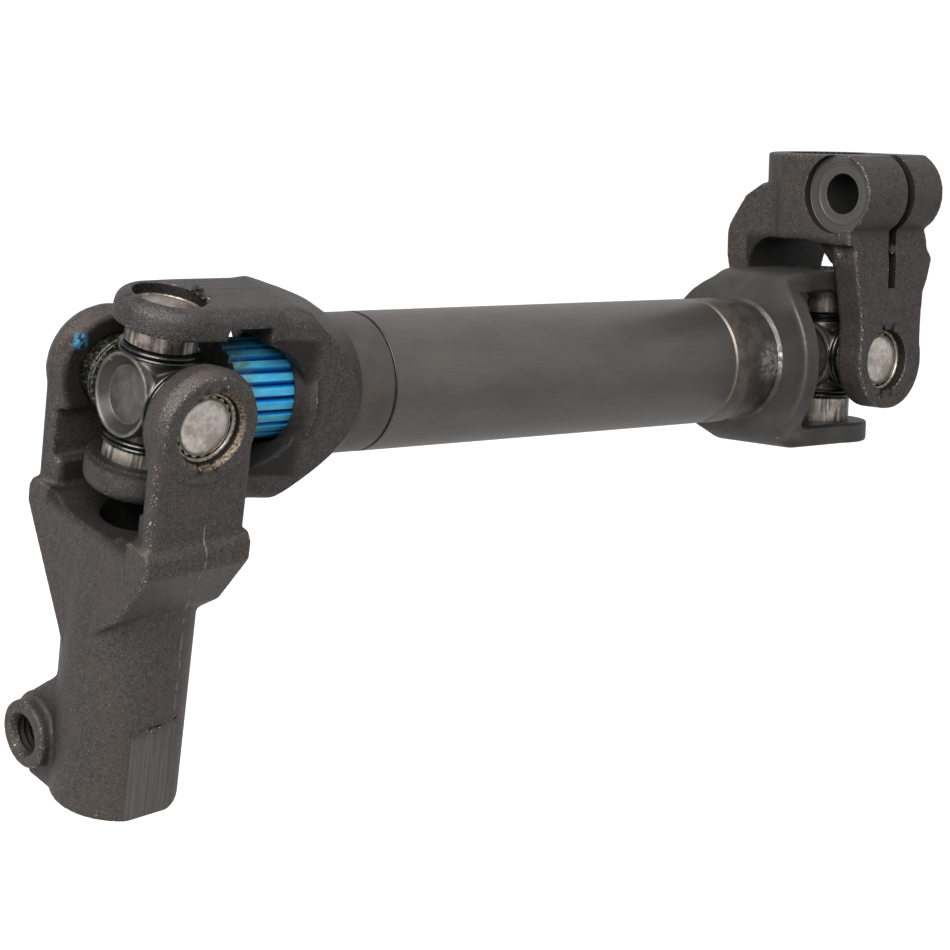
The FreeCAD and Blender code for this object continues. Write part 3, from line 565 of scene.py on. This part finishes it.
def column_marks(spot, height, colour):
    """The spot face is cut in fine rings and grey with oil."""
    x, y, z = spot.part(0), spot.part(1) - BOLT[0], spot.part(2) - BOLT[1]
    radius = (y * y + z * z).maths("SQRT", y * y + z * z)
    cut = x.between(14.2, 14.3) * (1 - x.between(14.75, 14.85)) * (1 - radius.between(10.3, 10.45))
    rings = radius.noise(0.35, 2, 0.5, 3.0)
    height = cut.node("ShaderNodeMix", sockets={0: cut, 2: height, 3: rings * 0.6})
    oiled = rings.between(0.35, 0.65).colours(tone(70, 69, 66), tone(98, 96, 91))
    return height, (cut * 0.9).colours(colour, oiled)


column_steel = forging("scaled_steel_column_fork", (82, 77, 73), (39, 36, 34), COLUMN, 14.6, -32,
                       column_marks)
painted(column, column_steel)
closed_up(column, COLUMN, "column_fork", "column_yoke")


# Strap fork: thick strip steel pressed to a U, smooth with a grey-green phosphate skin, its
# blanked edges still bright. The shaft's spigot sits in its round base, and a weld joins them.
STRAP = UPPER @ Matrix.Rotation(radians(120), 4, Vector((1, 1, 1)))

strap = blank("strap_yoke", "strap_fork_pressing", STRAP)
joined(strap, *[rod(HOLE + 1, (0, side * 18, 0), (0, side * 23, 0)) for side in (-1, 1)])
forged(strap, 18)
machined(strap, ear_drill(23, 0.25, 0.25))
material, wire = finish("pressed_steel")
spot = wire.where(STRAP)
grain = spot.noise(0.5, 3, 0.6)
clouds = spot.noise(9, 3, 0.55, 4.0)
edge = wire.edges().between(0.52, 0.6)
shade_and_grime = wire.painted_hollow_shade(15)
colour = clouds.between(0.35, 0.65).colours(tone(64, 63, 60), tone(75, 73, 69))
colour = (edge * spot.noise(1.2, 2, 0.5, 2.0).between(0.3, 0.6) * 0.8).colours(colour, tone(150, 136, 118))
# Painted shade with grime in the pressing's hollows.
colour = (shade_and_grime * 0.9).colours(colour, tone(11, 11, 10))
arms, rise = spot.part(1), spot.part(2)
# Painted shade inside the U between the arms.
inside = (1 - arms.maths("ABSOLUTE", arms).between(18, 18.6)) * rise.between(-31, -29)
colour = (inside * 0.7).colours(colour, tone(12, 12, 11))
pressed_steel = coated(wire, material, Base_Color=colour, Metallic=0.6,
                       Roughness=0.42 + grain * 0.1, Normal=wire.bumped(grain + clouds, 0.05, 0.5))
painted(strap, pressed_steel)
closed_up(strap, STRAP, "shaft", "strap_yoke")


# Crosses: forged steel spiders, ground on their four pins, with a dished round face on each side.
def cross_finish(name, place):
    """Dark, oiled steel, lighter on the round faces and rubbed bright on their rims, with painted shade in
    its hollows.
    """
    material, wire = finish(name)
    spot = wire.where(place)
    grain = spot.noise(0.4, 3, 0.6)
    clouds = spot.noise(6, 3, 0.55, 4.0)
    edge = wire.edges().between(0.51, 0.56)
    dark = clouds.between(0.35, 0.65).colours(tone(38, 37, 35), tone(61, 59, 56))
    dished = spot.noise(3, 3, 0.6, 2.0).between(0.35, 0.65).colours(tone(90, 87, 84), tone(110, 106, 101))
    side, y, z = spot.part(0), spot.part(1), spot.part(2)
    radius = (y * y + z * z).maths("SQRT", y * y + z * z)
    slope = radius.between(6.3, 6.6) * (1 - radius.between(8.1, 8.5))
    face = side.maths("ABSOLUTE", side).between(5.4, 5.9) * (1 - slope * 0.85)
    colour = face.colours(dark, dished)
    colour = (edge * 0.6).colours(colour, tone(150, 147, 142))
    # Painted shade in the spider's hollows.
    colour = (wire.painted_hollow_shade(9) * 0.9).colours(colour, tone(12, 11, 10))
    return coated(wire, material, Base_Color=colour, Metallic=0.7, Roughness=0.4 + grain * 0.14,
                  Normal=wire.bumped(grain, 0.05, 0.5))


for joint, place in (("lower", LOWER), ("upper", UPPER)):
    cross = blank(joint + "_cross", joint + "_cross_spider", place)
    joined(cross, *[rod(8.9, (side * 5.5, 0, 0), (side * 8.05, 0, 0)) for side in (-1, 1)])
    finished_with(cross, "REMESH", mode="VOXEL", voxel_size=0.32 * MM, use_smooth_shade=True)
    finished_with(cross, "SMOOTH", factor=0.5, iterations=4)
    for side in (-1, 1):
        machined(cross, turned("dish", [(5.7, 6.2), (6.05, 6.05), (6.4, 6.1), (6.6, 6.35), (7.9, 7.35),
                                        (8.2, 7.7), (9.4, 9.0)],
                               Matrix.Rotation(radians(90 * side), 4, "Y"), solid=True))
    painted(cross, cross_finish(joint + "_cross_steel", place))
    closed_up(cross, place, joint + "_cross", joint + "_cross")


# Bearing cups: drawn steel, pressed into the ears and held by the stakes. Each shows a raised rim,
# a groove and a low dome. Behind each sits a black rubber seal with two lips, round the pin's root.
CUP = [(7.0, 11.4), (7.7, 11.4), (7.98, 11.7), (7.98, 19.5), (7.9, 19.9), (7.65, 20.05), (7.3, 19.95),
       (7.05, 19.4), (6.85, 19.05), (6.65, 19.1), (6.55, 19.5), (6.35, 19.85), (5.9, 20.15), (5.0, 20.38),
       (3.8, 20.55), (2.0, 20.67), (0.01, 20.7), (0.01, 18.6), (7.0, 18.6), (7.0, 11.4)]
SEAL = [(5.05, 9.27), (8.35, 9.27), (8.75, 9.37), (8.9, 9.6), (8.75, 9.85), (8.4, 9.98), (8.2, 10.15),
        (8.4, 10.32), (8.75, 10.45), (8.9, 10.7), (8.75, 10.98), (8.4, 11.1), (8.0, 11.2), (5.05, 11.2),
        (5.05, 9.27)]
TURNS = {
    "top": Matrix(),
    "bottom": Matrix.Rotation(radians(180), 4, "X"),
    "back": Matrix.Rotation(radians(-90), 4, "X"),
    "front": Matrix.Rotation(radians(90), 4, "X"),
}
HOLDERS = {
    ("lower", "top"): "tube", ("lower", "bottom"): "tube", ("lower", "back"): "gear_fork",
    ("lower", "front"): "gear_fork", ("upper", "top"): "shaft", ("upper", "bottom"): "shaft",
    ("upper", "back"): "column_fork", ("upper", "front"): "column_fork",
}


def cup_finish(name, place, light, dark, greased):
    """Drawn steel, tan at the rim, painted dark with shade in the groove and blotched over the dome."""
    material, wire = finish(name)
    spot = wire.where(place)
    x, y, z = spot.part(0), spot.part(1), spot.part(2)
    radius = (x * x + y * y).maths("SQRT", x * x + y * y)
    blotch = spot.noise(3.2, 4, 0.65, 6.0)
    fine = spot.noise(0.5, 3, 0.6, 1.0)
    colour = blotch.between(0.36, 0.62).colours(tone(*light), tone(*dark))
    colour = (fine.between(0.62, 0.74) * 0.5).colours(colour, tone(60, 52, 46))
    rim = radius.band(7.6, 0.45) * z.between(19.5, 19.7)
    tan = spot.noise(0.9, 2, 0.6, 8.0).between(0.35, 0.65).colours(tone(168, 150, 130), tone(84, 70, 58))
    colour = (rim * 0.9).colours(colour, tan)
    # Painted shade in the groove between the rim and the dome.
    groove_shade = radius.band(6.85, 0.35) * z.between(18.4, 18.7) * (1 - z.between(19.7, 19.95))
    colour = (groove_shade * 0.95).colours(colour, tone(26, 22, 19))
    wall = 1 - z.between(18.0, 18.5)
    streaks = spot.stretched(1, 1, 0.1).noise(1.2, 3, 0.6, 3.0).between(0.42, 0.6)
    colour = (wall * streaks * 0.75).colours(colour, tone(46, 43, 40))
    if greased:
        lumps = spot.noise(0.8, 4, 0.7, 5.0)
        colour = (wall * 0.95).colours(colour, lumps.between(0.5, 0.66).colours(
            tone(13, 14, 11), tone(120, 122, 96)))
        fine = fine + wall * lumps * 5
    return coated(wire, material, Base_Color=colour, Metallic=0.8,
                  Roughness=0.28 + blotch * 0.18, Normal=wire.bumped(fine * 0.4 + blotch, 0.08, 0.5))


def rubber(name, grease):
    """Black rubber, wiped with oil; grease makes it greenish and lumpy."""
    material, wire = finish(name)
    spot = wire.where()
    grain = spot.noise(0.8, 3, 0.6)
    colour = grain.between(0.4, 0.6).colours(tone(9, 9, 9), tone(19, 19, 19))
    height = grain * 0.4
    if grease:
        lumps = spot.noise(0.9, 4, 0.7, 5.0)
        colour = lumps.between(0.5, 0.66).colours(tone(14, 15, 11), tone(104, 106, 80))
        height = lumps * 3
    return coated(wire, material, Base_Color=colour, Specular_IOR_Level=0.6,
                  Roughness=(0.2 + grain * 0.1) if not grease else 0.12 + grain * 0.1,
                  Normal=wire.bumped(height, 0.2, 0.7))


black_rubber = rubber("black_rubber", False)
greased_rubber = rubber("greased_rubber", True)
material, wire = finish("needle_steel")
spot = wire.where()
streaks = spot.noise(1.5, 2, 0.5)
needle_steel = coated(wire, material, Base_Color=streaks.colours(tone(120, 118, 114), tone(160, 158, 152)),
                      Metallic=1.0, Roughness=0.2 + streaks * 0.1)
for (joint, side), holder in HOLDERS.items():
    place = (LOWER if joint == "lower" else UPPER) @ TURNS[side]
    cup = turned("%s_cup_%s_drawn" % (joint, side), CUP, place)
    light, dark = (214, 206, 199), (168, 158, 149)
    if side == "top":
        light, dark = (182, 174, 167), (124, 109, 100)
    greased = (joint, side) == ("lower", "back")
    painted(cup, cup_finish("%s_cup_%s_steel" % (joint, side), place, light, dark, greased))
    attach(cup, holder)
    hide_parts("%s_cup_%s" % (joint, side))
    seal = turned("%s_seal_%s_rubber" % (joint, side), SEAL, place, 72)
    painted(seal, greased_rubber if greased else black_rubber)
    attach(seal, joint + "_cross")
    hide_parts("%s_seal_%s" % (joint, side))
    painted(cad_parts["%s_needles_%s" % (joint, side)], needle_steel)


# Tube: drawn steel, ground smooth and oiled, broached inside to slide on the shaft's teeth.
ALONG = Matrix.Rotation(radians(90), 4, "Y")

tube = turned("drawn_tube_sleeve", [
    (9.0, -57.6), (15.85, -57.6), (16.0, -57.45), (16.0, 57.3), (15.9, 57.5), (15.7, 57.6), (9.0, 57.6),
    (9.0, -57.6)], around=160)
machined(tube, toothed("broach", 22, 10.05, 11.35, -60, 60, 0.62))
laid(tube, ALONG)
only(tube)
bpy.ops.object.shade_smooth_by_angle(angle=radians(32))
material, wire = finish("drawn_tube_steel")
spot = wire.where()
haze = spot.stretched(0.35, 1, 1).noise(7, 4, 0.6, 2.0)
scores = spot.stretched(0.05, 1, 1).noise(0.35, 2, 0.5, 4.0)
pits = spot.noise(0.5, 2, 0.6, 9.0).between(0.7, 0.76)
end_line = spot.part(0).band(57.45, 0.2)
seam = spot.part(0).band(-57.5, 0.3)
colour = haze.between(0.35, 0.65).colours(tone(92, 88, 85), tone(99, 95, 91))
colour = (scores.between(0.5, 0.75) * 0.25).colours(colour, tone(112, 108, 103))
colour = (pits * 0.5).colours(colour, tone(50, 46, 42))
colour = (end_line * 0.6).colours(colour, tone(170, 166, 160))
colour = (seam * 0.8).colours(colour, tone(26, 24, 22))
# Painted shade in the tube's hollows, among the teeth of its bore.
colour = (wire.painted_hollow_shade(8) * 0.8).colours(colour, tone(18, 17, 16))
drawn_steel = coated(wire, material, Base_Color=colour, Metallic=0.6,
                     Roughness=0.36 + haze * 0.08, Normal=wire.bumped(scores, 0.01, 0.5))
painted(tube, drawn_steel)
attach(tube, "tube")
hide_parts("outer_tube")


# Stop ring: a turned collar on the shaft that the tube's end meets, blued and browned by welding heat.
ring = turned("heat_tinted_ring", [
    (9.0, 58.1), (15.5, 58.1), (15.95, 58.5), (16.0, 58.9), (16.0, 65.6), (15.9, 65.95), (15.6, 66.1),
    (9.0, 66.1), (9.0, 58.1)], ALONG, 160)
material, wire = finish("heat_tinted_steel")
spot = wire.where()
clouds = spot.noise(4.5, 4, 0.65, 3.0)
scores = spot.stretched(1, 0.06, 0.06).noise(0.3, 2, 0.5)
edge = spot.part(0).band(58.3, 0.25)
colour = clouds.between(0.36, 0.64).colours(tone(74, 66, 61), tone(98, 90, 84))
colour = (edge * 0.35).colours(colour, tone(140, 130, 120))
tinted_steel = coated(wire, material, Base_Color=colour, Metallic=0.65,
                      Roughness=0.36 + clouds * 0.12, Normal=wire.bumped(scores + clouds * 0.4, 0.03, 0.6))
painted(ring, tinted_steel)
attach(ring, "shaft")
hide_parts("stop_ring")


# Splined shaft: a toothed bar, its plain shank, and a wide head with a spigot that the strap takes.
# The head was machined roughly and still shines where the lathe tool stopped.
SPLINE_END = -99

shaft = toothed("splined_shaft_bar", 22, 9.6, 10.9, SPLINE_END, 23, 0.6, ALONG)
joined(shaft, turned("head", [
    (9.0, 22.9), (9.0, 66.1), (15.1, 66.1), (15.4, 66.4), (15.4, 75.2), (15.2, 75.5), (6.0, 75.5),
    (6.0, 80.8), (5.8, 81.0)], ALONG, 160, solid=True))
only(shaft)
bpy.ops.object.shade_smooth_by_angle(angle=radians(32))
material, wire = finish("machined_steel")
spot = wire.where()
ripple = spot.noise(1.3, 3, 0.7, 5.0)
blotch = spot.noise(5, 3, 0.6, 1.0)
scores = spot.stretched(1, 0.08, 0.08).noise(0.4, 2, 0.5)
shiny = (1 - (spot.node("ShaderNodeVectorMath", out="Value", operation="DISTANCE", sockets={
    0: spot, 1: (72.3, -14.2, 4.6)})).between(2.0, 6.0)) * ripple.between(0.35, 0.6)
colour = blotch.between(0.35, 0.65).colours(tone(66, 65, 63), tone(88, 87, 84))
colour = (shiny * 0.8).colours(colour, tone(190, 190, 188))
machined_steel = coated(wire, material, Base_Color=colour, Metallic=0.75,
                        Roughness=0.42 - shiny * 0.2 + blotch * 0.1,
                        Normal=wire.bumped(ripple * 0.9 + scores * 0.5, 0.18, 0.8))
painted(shaft, machined_steel)
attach(shaft, "shaft")
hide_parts("splined_shaft")

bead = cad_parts["weld_bead"]
painted(bead, machined_steel)


# Slide coat: blue nylon moulded over the shaft's teeth. The crests are rubbed pale turquoise, the
# grooves are painted a deeper blue as shade, and old grease stains its end near the cross.
coat = toothed("slide_coat_sleeve", 22, 9.95, 11.25, SPLINE_END, 23, 0.66)
machined(coat, toothed("core", 22, 9.61, 10.91, SPLINE_END - 1, 24, 0.6))
laid(coat, ALONG)
only(coat)
bpy.ops.object.shade_smooth_by_angle(angle=radians(50))
material, wire = finish("blue_slide_coat")
spot = wire.where()
x, y, z = spot.part(0), spot.part(1), spot.part(2)
radius = (y * y + z * z).maths("SQRT", y * y + z * z)
smear = spot.stretched(0.25, 1, 1).noise(1.4, 4, 0.65, 2.0)
crest = radius.between(10.85, 11.25)
# Painted shade: the teeth darken towards their roots.
flank_shade = radius.between(9.9, 11.0)
colour = flank_shade.colours(tone(0, 62, 128), tone(0, 126, 208))
colour = (crest * (smear * 1.5 - 0.1)).colours(colour, tone(84, 180, 196))
# Painted shade deep between the teeth.
colour = (wire.painted_hollow_shade(3) * 0.35).colours(colour, tone(0, 30, 66))
stain = (1 - x.between(SPLINE_END + 2.5, SPLINE_END + 7)) * spot.noise(1.6, 3, 0.6, 7.0).between(0.35, 0.6)
colour = (stain * 0.8).colours(colour, tone(92, 108, 84))
slide_coat = coated(wire, material, Base_Color=colour, Roughness=0.34 + smear * 0.15,
                    Normal=wire.bumped(smear, 0.08, 0.6))
painted(coat, slide_coat)
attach(coat, "shaft")
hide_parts("spline_coat")


# Floor and light: a white sweep below the shaft, an even white room and one soft lamp at upper left.
bpy.ops.object.select_all(action="DESELECT")
bpy.ops.mesh.primitive_grid_add(x_subdivisions=8, y_subdivisions=8, size=6, location=(0, 0, -0.19))
floor = laid(bpy.context.object, Matrix())
floor.name = "floor"
material, wire = finish("white_floor")
seen = wire.node("ShaderNodeLightPath", out="Is Camera Ray")
mirrored = wire.node("ShaderNodeLightPath", out="Is Glossy Ray")
white = wire.node("ShaderNodeBsdfDiffuse", sockets={"Color": (0.4, 0.4, 0.4, 1)})
glow = wire.node("ShaderNodeEmission", sockets={"Strength": seen * 0.9 + mirrored * 0.3})
both = wire.node("ShaderNodeAddShader", sockets={0: white, 1: glow})
wire.node("ShaderNodeOutputMaterial", sockets={"Surface": both})
painted(floor, material)

world = bpy.data.worlds.new("white_room")
bpy.context.scene.world = world
world.use_nodes = True
world.node_tree.nodes.clear()
wire = Wire(world.node_tree)
seen = wire.node("ShaderNodeLightPath", out="Is Camera Ray")
mirrored = wire.node("ShaderNodeLightPath", out="Is Glossy Ray")
sky = wire.node("ShaderNodeBackground", sockets={"Strength": 0.4 + seen * 0.6 + mirrored * 0.45})
wire.node("ShaderNodeOutputWorld", sockets={"Surface": sky})

bpy.ops.object.select_all(action="DESELECT")
bpy.ops.object.light_add(type="AREA", location=(-0.75, -0.35, 0.75))
lamp = bpy.context.object
lamp.data.size = 0.8
lamp.data.energy = 20.5
lamp.rotation_euler = (Vector((-0.03, 0, 0)) - lamp.location).to_track_quat("-Z", "Y").to_euler()

bpy.context.scene.view_settings.view_transform = "Standard"
